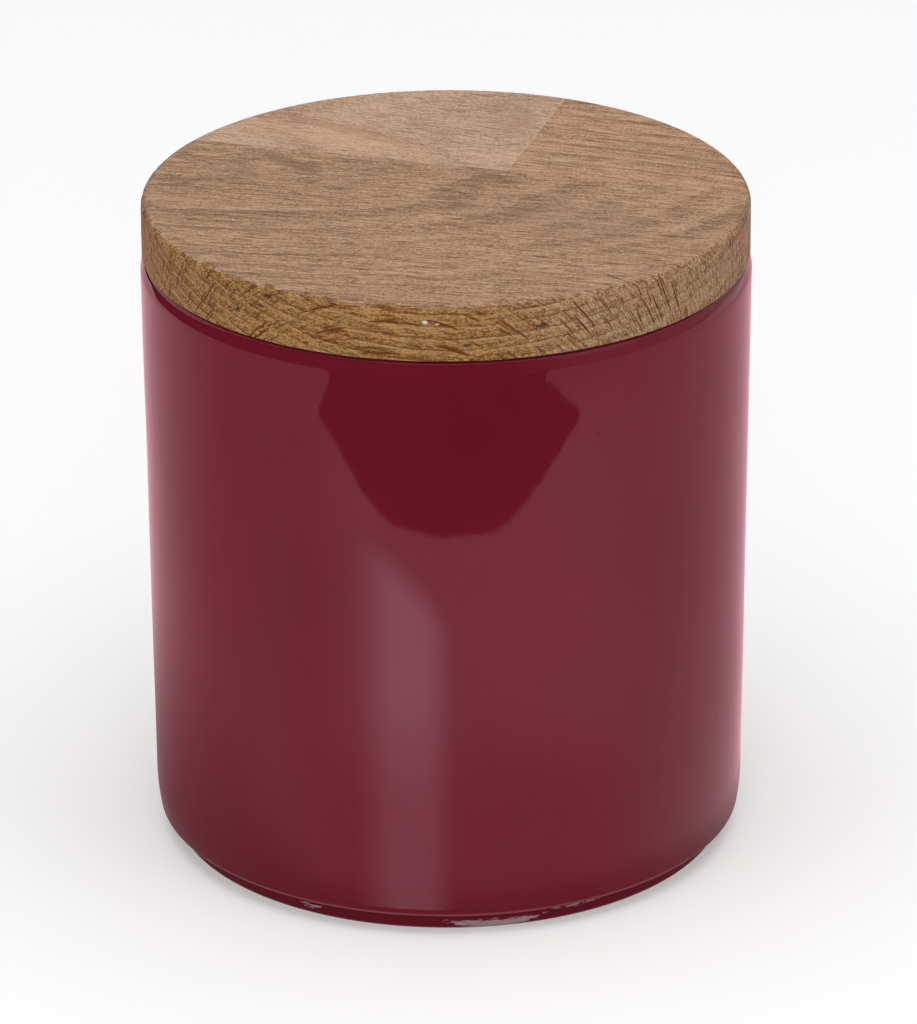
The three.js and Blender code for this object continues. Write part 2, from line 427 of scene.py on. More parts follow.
# %% Shape the staves
EDGE_STEP = 0.5 * MM
JOINT_COLUMNS = 24
STAVE_CREASE = 32
TORN_DEPTH = 0.2 * MM
TORN_BELOW_TOP = 0.5 * FLANGE_TOP_ROUND
TORN_SPREAD = 0.45 * FLANGE_TOP_ROUND
TORN_SEED = 11
TORN_WAVES = 60
TORN_TURNS = 200
FRONT_MIDDLE = (0, -20 * MM)
LEFT_MIDDLE = (-16 * MM, 31 * MM)
RIGHT_MIDDLE = (24 * MM, 29 * MM)


def on_edge(angle):
    """Places on the turned edge at each level, at angles counted from the front: radius times (sine, minus
    cosine). The rounded top edge is torn back a little, here and there."""
    torn = np.clip(ripple(TORN_SEED, TORN_WAVES, (angle, TORN_TURNS)), 0, 1)
    close = np.exp(-((level_height - lid_top + TORN_BELOW_TOP) / TORN_SPREAD) ** 2)
    radius = level_radius - TORN_DEPTH * torn * close
    return np.stack([radius * np.sin(angle), -radius * np.cos(angle)], axis=-1)


def glue_angle(line):
    """The angle from the front at which the turned edge of each level meets a joint along x: its cosine is
    -line / radius."""
    return np.arccos(-line / level_radius)


def make_stave(name, middle, first, last, corners):
    """One stave: at each level the turned edge from the first angle to the last, then straight runs through
    the corners and back to the start. On the flat top and underside the outline shrinks to the middle."""
    columns = int(np.abs(last - first).max() * lid_radius / EDGE_STEP)
    share = np.linspace(0, 1, columns, endpoint=False)
    step = np.linspace(0, 1, JOINT_COLUMNS, endpoint=False)[:, None]
    stops = [on_edge(last), *corners, on_edge(first)]
    runs = [start + step * (end - start) for start, end in zip(stops, stops[1:])]
    outline = np.concatenate([on_edge(first + share * (last - first)), *runs], axis=1)
    flat_point = np.array(middle) + level_share[..., None] * (outline - np.array(middle))
    grid = np.dstack([flat_point, np.broadcast_to(level_height, flat_point.shape[:2])])
    return link_mesh(name, grid, ring_faces(*grid.shape[:2]), STAVE_CREASE)


rear_line = glue_line + GLUE_FILM


def rear_corner(edge):
    """The corner of a rear stave where the end joint meets the long one, at each level."""
    return np.stack([edge, np.full_like(edge, rear_line)], axis=-1)


left_edge = finger_edge(level_height, 0)
right_edge = finger_edge(level_height, GLUE_FILM)
left_end = -np.pi - np.arcsin(left_edge / level_radius)
right_end = np.pi - np.arcsin(right_edge / level_radius)
front_angle = glue_angle(glue_line)
rear_angle = glue_angle(rear_line)
front_stave = make_stave("oak_front", FRONT_MIDDLE, -front_angle, front_angle, [])
left_stave = make_stave("oak_rear_left", LEFT_MIDDLE, -rear_angle, left_end, [rear_corner(left_edge)])
right_stave = make_stave("oak_rear_right", RIGHT_MIDDLE, right_end, rear_angle, [rear_corner(right_edge)])

# %% [markdown]
# The lip seal
#
# A ring of pale silicone sits in a groove round the plug. Its thin lips slant up and bend against the wall
# of the mouth, which holds the lid and keeps the air out. It could be lofted, but it is one closed outline
# turned about the axis, so the same rounded outline does: a band, and a thin rounded lip repeated up its
# face.

# %% Turn the seal
SEAL_LIPS = 3
LIP_ROOT = 1.1 * MM
LIP_TIP = 0.5 * MM
LIP_RISE = 0.5 * MM
BAND_PROUD = 0.3 * MM
SEAL_GAP = 0.3 * MM
SEAL_ROUND = 0.22 * MM
SEAL_SPACING = 0.6 * MM
SEAL_COLUMNS = 192
SEAL_CREASE = 40

band_low = seal_low.z
band_high = seal_high.z
band_inner = groove_radius + SEAL_GAP
band_outer = plug_radius + BAND_PROUD
lip_step = (band_high - band_low - LIP_RISE) / SEAL_LIPS


def lip_corners(root):
    """Four corners of one lip, from under its root height, out to its slanting tip and back."""
    tip = root + LIP_RISE
    tip_radius = wall_radius(tip) - WALL - SEAL_GAP
    return [(band_outer, root - LIP_ROOT / 2), (tip_radius, tip - LIP_TIP / 2),
            (tip_radius, tip + LIP_TIP / 2), (band_outer, root + LIP_ROOT / 2)]


seal_corners = [(band_inner, band_low), (band_outer, band_low)]
for lip in range(SEAL_LIPS):
    seal_corners += lip_corners(band_low + (lip + 0.5) * lip_step)
seal_corners += [(band_outer, band_high), (band_inner, band_high)]
seal_outline = rounded([(*corner, SEAL_ROUND) for corner in seal_corners], SEAL_SPACING, closed=True)

seal_grid = turned(seal_outline[:, :1], full_turn(SEAL_COLUMNS), seal_outline[:, 1:])
seal_faces = ring_faces(len(seal_outline), SEAL_COLUMNS, close_rows=True)
seal = link_mesh("lip_seal", seal_grid, seal_faces, SEAL_CREASE)

# %% [markdown]
# Small words for shader nodes
#
# A material is a graph of nodes. Written out link by link it is hard to read, so these helpers let each node
# be one line of ordinary arithmetic: a value is either a plain number or the socket of an earlier node. A
# socket knows the node tree it lies in, so each new node joins the tree of the sockets it is given.

# %% Arithmetic with nodes
def add_node(tree, kind, **settings):
    """Add one shader node and set its options."""
    node = tree.nodes.new("ShaderNode" + kind)
    for name, value in settings.items():
        setattr(node, name, value)
    return node


def feed(socket, value):
    """Give a socket its value: a link from another socket, or a plain number, colour or vector."""
    if isinstance(value, bpy.types.NodeSocket):
        socket.id_data.links.new(value, socket)
    else:
        socket.default_value = value


def fill(node, **values):
    """Feed several inputs of a node. An input is named by its label with low lines for its spaces."""
    for name, value in values.items():
        feed(node.inputs[name.replace("_", " ")], value)
    return node.outputs


def tree_of(values):
    """The node tree of the first socket among some values."""
    return next(value.id_data for value in values if isinstance(value, bpy.types.NodeSocket))


def join_node(kind, values, **settings):
    """A node in the tree of the values, with its inputs fed by them in order."""
    node = add_node(tree_of(values), kind, **settings)
    for socket, value in zip(node.inputs, values):
        feed(socket, value)
    return node


def calc(operation, *values):
    """One Math node."""
    return join_node("Math", values, operation=operation).outputs[0]


def total(*values):
    """The sum of all the values."""
    result = values[0]
    for value in values[1:]:
        result = calc("ADD", result, value)
    return result


def product(*values):
    """All the values multiplied together."""
    result = values[0]
    for value in values[1:]:
        result = calc("MULTIPLY", result, value)
    return result


def inverse(mask):
    """1 where a mask is 0, and 0 where it is 1."""
    return calc("SUBTRACT", 1.0, mask)


def away_from(value, middle):
    """How far a value is from a middle, either way."""
    return calc("ABSOLUTE", calc("SUBTRACT", value, middle))


def centred(value, size):
    """Noise made even about nought and given a size: (value - 0.5) * size."""
    return product(calc("SUBTRACT", value, 0.5), size)


def at_least(least, share):
    """A share from 0 to 1, raised to lie between the least value and 1."""
    return total(least, product(1 - least, share))


def ease(value, low, high, curve="SMOOTHSTEP"):
    """0 at low, 1 at high and an S-shaped change between; low may be the larger of the two."""
    node = join_node("MapRange", [value], interpolation_type=curve)
    return fill(node, From_Min=low, From_Max=high)[0]


def hump(value, start, full, fade, end):
    """0 up to start, 1 from full to fade and 0 again from end on."""
    return product(ease(value, start, full), ease(value, end, fade))


def move(vector, operation, other):
    """One Vector Math node with two vectors."""
    return join_node("VectorMath", [vector, other], operation=operation).outputs[0]


def in_millimetres(vector):
    """A place in metres, in millimetres."""
    return move(vector, "DIVIDE", (MM, MM, MM))


def parts(vector):
    """The x, y and z of a vector."""
    return join_node("SeparateXYZ", [vector]).outputs[:]


def joined(x, y, z):
    """A vector from its x, y and z."""
    return join_node("CombineXYZ", [x, y, z]).outputs[0]


def seen(red, green, blue):
    """A colour as picked on a screen, 0 to 255, in the linear light that shaders work in, by the screen's
    curve: a straight start, then a power of 2.4."""
    share = np.array([red, green, blue]) / 255
    light = np.where(share <= 0.04045, share / 12.92, ((share + 0.055) / 1.055) ** 2.4)
    return (*light.tolist(), 1.0)


print("burgundy 98, 22, 35 is", [round(v, 3) for v in seen(98, 22, 35)[:3]], "in linear light")

# %% Colours, patterns, groups and materials
SOCKETS = {"value": "NodeSocketFloat", "vector": "NodeSocketVector", "colour": "NodeSocketColor"}
CHOICE_SOFTNESS = 0.03


def blend(share, first, second, way="MIX"):
    """The first colour, turned into the second by the given share."""
    node = add_node(tree_of((share, first)), "Mix", data_type="RGBA", blend_type=way)
    feed(node.inputs[0], share)
    feed(node.inputs[6], first)
    feed(node.inputs[7], second)
    return node.outputs[2]


def noise(place, lump, detail=2.0, roughness=0.5):
    """Soft noise from 0 to 1 whose lumps have the given size along x, y and z, in millimetres."""
    node = join_node("TexNoise", [move(place, "DIVIDE", lump)])
    return fill(node, Scale=1.0, Detail=detail, Roughness=roughness)[0]


def flecks(place, cell, core, edge, share):
    """Small rounded bodies in a share of the cells of a given size in millimetres: solid within core of a
    point scattered in the cell and gone by edge, both as shares of the cell."""
    found = fill(join_node("TexVoronoi", [move(place, "DIVIDE", cell)]), Scale=1.0)
    drawn = join_node("SeparateColor", [found["Color"]]).outputs[0]
    chosen = ease(calc("SUBTRACT", drawn, share), CHOICE_SOFTNESS, -CHOICE_SOFTNESS)
    return product(ease(found["Distance"], edge, core), chosen)


def bumped(height, depth):
    """The surface normal, tipped by a height whose unit stands for the given depth."""
    node = add_node(height.id_data, "Bump")
    return fill(node, Distance=depth, Height=height)[0]


def new_group(name, inputs, outputs):
    """An empty node group with named sockets; inputs map a name to its kind and its first value, outputs map
    a name to its kind."""
    tree = bpy.data.node_groups.new(name, "ShaderNodeTree")
    for label, (kind, first) in inputs.items():
        socket = tree.interface.new_socket(label, in_out="INPUT", socket_type=SOCKETS[kind])
        socket.default_value = first
    for label, kind in outputs.items():
        tree.interface.new_socket(label, in_out="OUTPUT", socket_type=SOCKETS[kind])
    given = tree.nodes.new("NodeGroupInput").outputs
    put = tree.nodes.new("NodeGroupOutput").inputs
    return tree, given, put


def use_group(group, place, **values):
    """Put a node group in the tree of the place that it is given, and feed it."""
    return fill(add_node(place.id_data, "Group", node_tree=group), Vector=place, **values)


def new_material(name, piece):
    """The Principled shader of a new material on a piece."""
    material = bpy.data.materials.new(name)
    material.use_nodes = True
    piece.data.materials.append(material)
    return material.node_tree.nodes["Principled BSDF"]


def own_place(shader):
    """The place on the piece itself, in metres."""
    return add_node(shader.id_data, "TexCoord").outputs["Object"]


print("groups pass on", ", ".join(SOCKETS))

# %% [markdown]
# Oak as a solid
#
# Oak has three things to see. Growth rings lie round the pith, each starting with a band of wide vessels.
# The vessels run along the grain, so a planed face cuts them into fine dark dashes and an end cuts them
# into dots. Rays are thin red-brown sheets that run out from the pith: flecks on one face, slanting strokes
# on another. A picture of a board would have to be wrapped round the lid. A solid pattern, worked out from
# the place in the wood alone, cuts right on every face, so the top and the turned edge agree without any
# fitting. Each noise is written as the size of its lumps along the grain, across it and up, in millimetres,
# then how many finer layers it has and how much those count. A pair that ends in SHOWS is where a mark
# begins and where it is full.

# %% Where a point lies in the tree
SLOW_DRIFT = ((60, 15, 15), 2.0, 0.5)
QUICK_DRIFT = ((8, 2.0, 2.0), 3.0, 0.5)
SLOW_SIZE = 2.0
QUICK_SIZE = 0.8


def half_square(way, size):
    """The rise of a shallow bowl: way^2 / (2 size)."""
    return calc("DIVIDE", product(way, way), product(2.0, size))


def ring_place(given, x, lane, z, drift):
    """Height above the pith's rings in millimetres: the height of the point, plus the bow of the rings
    across the grain, off^2 / (2 depth), plus their crown along it, ahead^2 / (2 length), plus two wobbles.
    Also how far off the pith's line the point is, and how steeply the rings cross the fibres on a level
    face."""
    off = calc("SUBTRACT", lane, given["Pith Side"])
    ahead = calc("SUBTRACT", x, given["Crown Place"])
    bow = half_square(off, given["Pith Depth"])
    crown = half_square(ahead, given["Crown Length"])
    slow = centred(noise(drift, *SLOW_DRIFT), SLOW_SIZE)
    quick = centred(noise(drift, *QUICK_DRIFT), QUICK_SIZE)
    across = calc("DIVIDE", off, given["Pith Depth"])
    along = calc("DIVIDE", ahead, given["Crown Length"])
    crossing = calc("ABSOLUTE", calc("DIVIDE", along, across))
    return total(z, bow, crown, slow, quick), off, crossing


print("rings stray by up to", (SLOW_SIZE + QUICK_SIZE) / 2, "mm either way")

# %% Rings, rays and vessels
RING_MARKS = {
    "line": (0.0, 0.06, 0.09, 0.2),
    "second line": (0.44, 0.5, 0.52, 0.6),
    "porous band": (0.0, 0.16, 0.28, 0.8),
    "dense ridge": (0.8, 0.9, 0.93, 1.0),
}
WEAKEST_RING = 0.4
SECOND_STRENGTH = 0.7
LINE_STRETCHES = ((14, 4, 4), 2.0, 0.5)
LINE_SHOWS = (0.3, 0.55)
OTHER_STRETCHES = ((9, 3, 3), 2.0, 0.5)
OTHER_SHOWS = (0.46, 0.62)
RAY_WEAVE = ((5, 1.4, 1.1), 2.0, 0.5)
WEAVE_LEAST = 0.25
WEAVE_MORE = 0.8
WEAVE_ENDS = (35.0, 5.0)
LARGE_RAYS = ((11, 0.48, 13), 0.22, 0.34, 0.42)
SMALL_RAYS = ((5, 0.42, 5), 0.24, 0.38, 0.4)
SMALL_STRENGTH = 0.75
RAY_HATCH = ((6, 0.42, 2.4), 2.0, 0.7)
WIDE_VESSELS = ((6, 0.6, 0.6), 3.0, 0.6)
WIDE_SHOWS = (0.6, 0.7)
FINE_VESSELS = ((2.6, 0.45, 0.4), 2.0, 0.6)
FINE_SHOWS = (0.6, 0.72)
FINE_STRENGTH = 0.8
POROUS_GAIN = 0.04


def ring_marks(given, drift, risen):
    """Within each ring: the dark line it starts with and a weaker one half way, in some rings and stretches
    more than in others; the soft band of porous wood after the line; and the pale ridge of dense wood at its
    end."""
    count = calc("DIVIDE", risen, given["Ring Width"])
    ring = calc("FRACT", count)
    drawn = add_node(count.id_data, "TexWhiteNoise", noise_dimensions="1D")
    strength = at_least(WEAKEST_RING, fill(drawn, W=total(calc("FLOOR", count), given["Seed"]))["Value"])
    stretch = ease(noise(drift, *LINE_STRETCHES), *LINE_SHOWS)
    other = ease(noise(drift, *OTHER_STRETCHES), *OTHER_SHOWS)
    mark = {name: hump(ring, *span) for name, span in RING_MARKS.items()}
    line = product(mark["line"], strength, stretch)
    second = product(SECOND_STRENGTH, mark["second line"], other)
    band = product(strength, mark["porous band"])
    ridge = product(mark["dense ridge"], other)
    return calc("MAXIMUM", line, second), band, ridge


def ray_marks(given, drift, off, z):
    """Rays as thin upright lenses in sheets that spread from the pith. Across the sheets a point lies at
    off / (1 + z / depth), jogged a little, because a ray weaves between the fibres."""
    spread = total(1.0, calc("DIVIDE", z, given["Pith Depth"]))
    x, _, height = parts(drift)
    weave = total(WEAVE_LEAST, product(WEAVE_MORE, ease(x, *WEAVE_ENDS)))
    jog = product(weave, centred(noise(drift, *RAY_WEAVE), 1.0))
    sheet = joined(x, total(calc("DIVIDE", off, spread), jog), height)
    small = product(SMALL_STRENGTH, flecks(sheet, *SMALL_RAYS))
    return calc("MAXIMUM", flecks(sheet, *LARGE_RAYS), small), noise(sheet, *RAY_HATCH)


def vessel_marks(drift, band):
    """Vessels as fine dashes along the grain: the peaks of a drawn-out noise, more in porous wood."""
    more = product(POROUS_GAIN, band)
    wide = ease(total(noise(drift, *WIDE_VESSELS), more), *WIDE_SHOWS)
    fine = ease(total(noise(drift, *FINE_VESSELS), more), *FINE_SHOWS)
    return calc("MAXIMUM", wide, product(FINE_STRENGTH, fine))


print("each ring has a", ", a ".join(RING_MARKS))

# %% Build the oak group
WHITE = (1.0, 1.0, 1.0, 1.0)
SIDE_WARMTH = (0.98, 0.86, 0.55, 1.0)
SEED_STEP = (31, 17, 23)
STREAK = ((26, 1.6, 1.6), 3.0, 0.6)
FIBRE = ((5, 0.4, 0.4), 3.0, 0.7)
TONE = ((40, 12, 12), 2.0, 0.5)
SPECK = ((0.5, 0.35, 0.3), 2.0, 0.7)
TEAR = ((1.6, 0.7, 0.6), 2.0, 0.5)
TEAR_SHOWS = (0.5, 0.62)
TOP_SHADE = {"mean": 0.4, "streak": 0.7, "fibre": 3.1, "tone": 0.4, "speck": 3.1, "band": 0.3}
EDGE_SHADE = {"mean": 0.36, "hatch": 2.0, "fibre": 2.6, "speck": 2.6, "band": 0.24}
PAINT = {"vessel": 0.5, "line": 0.6, "ridge": 0.38, "edge line": 0.8, "ray": 0.95, "torn": 0.6}
RELIEF = {
    "vessel": -0.8, "fibre": 1.2, "line": -0.5,
    "edge line": -1.2, "ray": -1.4, "ridge": 0.6, "torn": -1.2,
}
OAK_ROUGHNESS = {"mean": 0.5, "vessel": 0.25, "ridge": -0.08}
LONG_RINGS = (0.4, 0.12)
CUT_RINGS = (0.7, 0.3)
CUT_LEAST = 0.25
PITH_NEAR = (34.0, 16.0)
PITH_LEAST = 0.3
SIDE_SLANT = 0.35
SIDE_BEGINS = (26.0, 44.0)
SIDE_END_GRAIN = 0.25


def build_oak():
    """The node group: rings, vessels, rays and fibres as a colour, a height for bump and a roughness."""
    colours = ("Pale", "Dark", "Vessel", "Edge Pale", "Edge Dark", "Ray", "Ridge")
    tree, given, put = new_group("oak_grain", {
        "Vector": ("vector", (0, 0, 0)), "Seed": ("value", 0.0), "Turned Edge": ("value", 0.0),
        "Fibre Slope": ("value", 0.0), "Pith Side": ("value", 0.0), "Pith Depth": ("value", 100.0),
        "Crown Place": ("value", 0.0), "Crown Length": ("value", 1e6), "Ring Width": ("value", 2.5),
        **{label: ("colour", WHITE) for label in colours},
    }, {"Colour": "colour", "Height": "value", "Roughness": "value"})
    edge = given["Turned Edge"]
    x, y, z = parts(in_millimetres(move(given["Vector"], "SUBTRACT", (0, 0, lid_top))))
    lane = calc("SUBTRACT", y, product(given["Fibre Slope"], x))
    shift = move(joined(given["Seed"], given["Seed"], given["Seed"]), "MULTIPLY", SEED_STEP)
    drift = move(joined(x, lane, z), "ADD", shift)

    risen, off, crossing = ring_place(given, x, lane, z, drift)
    along = ease(crossing, *LONG_RINGS)
    shown = at_least(CUT_LEAST, ease(crossing, *CUT_RINGS))
    line, band, ridge = ring_marks(given, drift, risen)
    ray, hatch = ray_marks(given, drift, off, z)
    vessel = vessel_marks(drift, band)
    streak, fibre, tone, speck = [noise(drift, *pattern) for pattern in (STREAK, FIBRE, TONE, SPECK)]

    near_pith = at_least(PITH_LEAST, ease(calc("ABSOLUTE", off), *PITH_NEAR))
    top_shade = total(
        TOP_SHADE["mean"], centred(streak, TOP_SHADE["streak"]), centred(fibre, TOP_SHADE["fibre"]),
        centred(tone, TOP_SHADE["tone"]), centred(speck, TOP_SHADE["speck"]),
        product(TOP_SHADE["band"], band, near_pith))
    side = ease(calc("SUBTRACT", calc("ABSOLUTE", y), product(SIDE_SLANT, x)), *SIDE_BEGINS)
    edge_grain = total(
        product(at_least(SIDE_END_GRAIN, inverse(side)), centred(hatch, EDGE_SHADE["hatch"])),
        product(side, centred(fibre, EDGE_SHADE["fibre"])), centred(speck, EDGE_SHADE["speck"]))
    edge_shade = total(EDGE_SHADE["mean"], edge_grain, product(EDGE_SHADE["band"], band))
    arris = product(4.0, edge, inverse(edge))
    torn = product(arris, ease(noise(drift, *TEAR), *TEAR_SHOWS))

    top_wood = blend(top_shade, given["Pale"], given["Dark"])
    top_wood = blend(product(PAINT["vessel"], vessel), top_wood, given["Vessel"])
    top_wood = blend(product(PAINT["line"], line, along), top_wood, given["Vessel"])
    edge_wood = blend(edge_shade, given["Edge Pale"], given["Edge Dark"])
    edge_wood = blend(side, edge_wood, SIDE_WARMTH, "MULTIPLY")
    edge_wood = blend(product(PAINT["ridge"], ridge, shown), edge_wood, given["Ridge"])
    edge_wood = blend(product(PAINT["edge line"], line, shown), edge_wood, given["Ray"])
    edge_wood = blend(product(PAINT["ray"], ray), edge_wood, given["Ray"])
    wood = blend(edge, top_wood, edge_wood)
    feed(put["Colour"], blend(product(PAINT["torn"], torn), wood, given["Ray"]))

    top_height = total(product(RELIEF["vessel"], vessel), product(RELIEF["fibre"], fibre),
                       product(RELIEF["line"], line, along))
    edge_height = total(product(RELIEF["edge line"], line), product(RELIEF["ray"], ray),
                        product(RELIEF["ridge"], ridge), edge_grain)
    feed(put["Height"], total(product(inverse(edge), top_height), product(edge, edge_height),
                              product(RELIEF["torn"], torn)))
    feed(put["Roughness"], total(OAK_ROUGHNESS["mean"], product(OAK_ROUGHNESS["vessel"], vessel),
                                 product(OAK_ROUGHNESS["ridge"], ridge)))
    return tree


oak_grain = build_oak()
print("oak group with", len(oak_grain.nodes), "nodes")

# %% [markdown]
# The turned edge, the glue line and single marks
#
# Round its edge the lid is warmer and more yellow than on top, and the change follows the torn fibres of
# the rounded corner. The joint across the rear course shows as a thin pale line of glue. A few marks are
# one of a kind: a check in the surface, small pits, a stain. Each of these is a mask worked out from the
# place on the lid, and each is used by more than one stave, so each is a small group.

# %% Build the edge, glue and mark groups
EDGE_FRAY = ((2.2, 0.7, 0.7), 3.0, 0.6)
EDGE_FRAY_SIZE = 1.6
EDGE_BEGINS = (0.12, 0.62)
GLUE_BREAKS = ((1, 2.5, 1), 2.0, 0.5)
GLUE_SHOWS = (0.25, 0.6)
GLUE_HALF_WIDTH = (0.34, 0.12)
FLANK_ENDS = 0.02
MARK_FRAY = ((3, 0.6, 0.5), 3.0, 0.5)
MARK_FADE = (1.0, 0.35)


def mask_group(name, **inputs):
    """An empty group that turns a place, and perhaps more, into a mask: its tree, what it is given, the
    place in millimetres and the socket for the mask."""
    sockets = {"Vector": ("vector", (0, 0, 0)), **inputs}
    tree, given, put = new_group(name, sockets, {"Mask": "value"})
    return tree, given, in_millimetres(given["Vector"]), put["Mask"]


def build_turned_edge():
    """1 on the turned side of the lid, 0 on its top: the depth below the top, roughened by noise, eased."""
    tree, _, place, mask = mask_group("turned_edge")
    depth = calc("SUBTRACT", lid_top / MM, parts(place)[2])
    frayed = centred(noise(place, *EDGE_FRAY), EDGE_FRAY_SIZE)
    feed(mask, ease(total(depth, frayed), *EDGE_BEGINS))
    return tree


def build_glue_line():
    """1 within a hair of the joint across the rear course, broken up along its length by noise. The joint's
    place at each height is the formula of the fingers again, and on a flank, which lies almost level, the
    way to the joint is the way along x divided by the flank's slope."""
    tree, _, place, mask = mask_group("glue_line")
    x, _, height = parts(place)
    half_root, half_tip = finger_halves(0) / MM
    along = calc("DIVIDE", calc("SUBTRACT", height, finger_base / MM), FINGER_PITCH / MM)
    off_middle = calc("ABSOLUTE", centred(calc("FRACT", along), FINGER_PITCH / MM))
    among = product(calc("GREATER_THAN", along, 0.0), calc("LESS_THAN", along, float(FINGERS)))
    standing = product(ease(off_middle, half_root, half_tip, "LINEAR"), among)
    flank = hump(standing, 0.0, FLANK_ENDS, 1 - FLANK_ENDS, 1.0)
    away = away_from(x, total(end_joint / MM, product(FINGER_LENGTH / MM, standing)))
    slope = FINGER_LENGTH / MM / (half_root - half_tip)
    away = calc("DIVIDE", away, total(1.0, product(slope - 1.0, flank)))
    broken = ease(noise(place, *GLUE_BREAKS), *GLUE_SHOWS)
    feed(mask, product(ease(away, *GLUE_HALF_WIDTH), broken))
    return tree


def build_soft_mark():
    """1 in the middle of a turned ellipsoid and 0 outside it: the length of (place - middle) / size, with
    its edge frayed along the grain by noise, eased."""
    tree, given, place, mask = mask_group(
        "soft_mark", Middle=("vector", (0, 0, 0)), Size=("vector", (1, 1, 1)),
        Turn=("value", 0.0), Fray=("value", 0.5))
    swung = add_node(tree, "VectorRotate", rotation_type="Z_AXIS", invert=True)
    offset = fill(swung, Vector=move(place, "SUBTRACT", given["Middle"]), Angle=given["Turn"])[0]
    away = add_node(tree, "VectorMath", operation="LENGTH")
    feed(away.inputs[0], move(offset, "DIVIDE", given["Size"]))
    frayed = product(given["Fray"], centred(noise(place, *MARK_FRAY), 2.0))
    feed(mask, ease(total(away.outputs["Value"], frayed), *MARK_FADE))
    return tree


turned_edge = build_turned_edge()
glue_seam = build_glue_line()
soft_mark = build_soft_mark()
for group in (turned_edge, glue_seam, soft_mark):
    print(group.name, "group with", len(group.nodes), "nodes")

# %% Oak on the three staves
GLUE = seen(205, 178, 150)
GLUE_SHADED = seen(84, 54, 28)
GLUE_STRENGTH = 0.5
GRAIN_DEPTH = 0.14 * MM
OAK_IOR = 1.45
OAK_SHEEN = 0.15
TOP = lid_top / MM
CHECK = (74, 56, 48)
PIT = (64, 40, 20)
STAIN = (112, 82, 54)
FILLER = (228, 222, 214)


def oak_finish(name, piece, marks, seam=False, **wood):
    """Oiled oak on one stave: the shared grain with this stave's own place in its tree, the glue line where
    the stave has one, and its own marks, each with a colour, a strength, a middle, half its size, a turn in
    degrees and how much it is frayed."""
    shader = new_material(name, piece)
    place = own_place(shader)
    edge = use_group(turned_edge, place)["Mask"]
    grain = use_group(oak_grain, place, Turned_Edge=edge, **wood)
    colour = grain["Colour"]
    if seam:
        line = use_group(glue_seam, place)["Mask"]
        colour = blend(product(GLUE_STRENGTH, line), colour, blend(edge, GLUE, GLUE_SHADED))
    for stain, strength, middle, size, turn, fray in marks:
        spot = use_group(soft_mark, place, Middle=middle, Size=size, Turn=math.radians(turn), Fray=fray)
        colour = blend(product(strength, spot["Mask"]), colour, seen(*stain))
    fill(shader, Base_Color=colour, Roughness=grain["Roughness"], IOR=OAK_IOR, Specular_IOR_Level=OAK_SHEEN,
         Normal=bumped(grain["Height"], GRAIN_DEPTH))
    print(name, "with", len(marks), "marks of its own")


front_marks = [
    (STAIN, 0.55, (-31, 7, TOP), (11, 2.6, 3), -30, 0.6),
    (STAIN, 0.12, (-27, -1, TOP), (9, 2.0, 3), -8, 0.6),
    (STAIN, 0.2, (24, -6, TOP), (22, 14, 3), -8, 0.6),
    (CHECK, 0.85, (25.2, -25.2, TOP), (3.2, 0.42, 0.6), -7, 0.25),
    (CHECK, 0.55, (32.7, -28.1, TOP), (4.6, 0.36, 0.6), -18, 0.3),
    (CHECK, 0.8, (39.7, -31.1, TOP), (4.0, 0.36, 0.8), -29, 0.3),
    (PIT, 0.9, (-17.1, -52.3, TOP - 1.5), (1.4, 1.4, 0.6), 0, 0.5),
    (PIT, 0.85, (-18.6, -51.8, TOP - 3.7), (0.9, 0.9, 0.5), 0, 0.5),
    (PIT, 0.85, (-23.4, -49.8, TOP - 5.8), (0.9, 0.9, 0.5), 0, 0.5),
    (PIT, 0.8, (29.7, -46.3, TOP - 0.8), (0.9, 0.9, 0.4), 0, 0.5),
    (PIT, 0.85, (30.6, -45.7, TOP - 4.5), (1.5, 1.5, 0.5), 0, 0.7),
    (PIT, 0.8, (19.1, -51.6, TOP - 7.2), (1.0, 1.0, 0.5), 0, 0.5),
    (FILLER, 0.95, (12.0, -53.7, TOP - 2.9), (0.62, 0.62, 0.7), 0, 0.9),
    (FILLER, 0.8, (14.0, -53.2, TOP - 3.2), (0.55, 0.55, 0.35), 0, 0.9),
]
left_marks = [
    ((160, 112, 80), 0.4, (-27, 26.5, TOP), (22, 3.0, 3), -18, 0.9),
    ((206, 168, 132), 0.4, (-30, 21.5, TOP), (28, 6.0, 3), -9, 0.7),
    ((146, 108, 78), 0.42, (1.5, 39, TOP), (7.0, 13, 3), 8, 1.4),
]
edge_tones = {
    "Edge_Pale": seen(190, 155, 120), "Edge_Dark": seen(112, 72, 30),
    "Ray": seen(112, 54, 4), "Ridge": seen(200, 170, 144),
}
oak_finish("oiled_oak_front", front_stave, front_marks, Seed=1.0, Fibre_Slope=0.09, Pith_Side=8.0,
           Pith_Depth=115.0, Crown_Place=-40.0, Crown_Length=388.0, Ring_Width=2.1, Pale=seen(191, 152, 121),
           Dark=seen(125, 93, 61), Vessel=seen(106, 74, 46), **edge_tones)
oak_finish("oiled_oak_rear_left", left_stave, left_marks, seam=True, Seed=2.0, Fibre_Slope=-0.07,
           Pith_Side=32.0, Pith_Depth=160.0, Crown_Place=120.0, Crown_Length=1500.0, Ring_Width=2.6,
           Pale=seen(206, 170, 142), Dark=seen(152, 119, 93), Vessel=seen(126, 92, 66), **edge_tones)
oak_finish("oiled_oak_rear_right", right_stave, [], seam=True, Seed=3.0, Fibre_Slope=-0.04, Pith_Side=85.0,
           Pith_Depth=100.0, Ring_Width=2.5, Pale=seen(200, 158, 125), Dark=seen(130, 93, 58),
           Vessel=seen(96, 62, 34), **edge_tones)

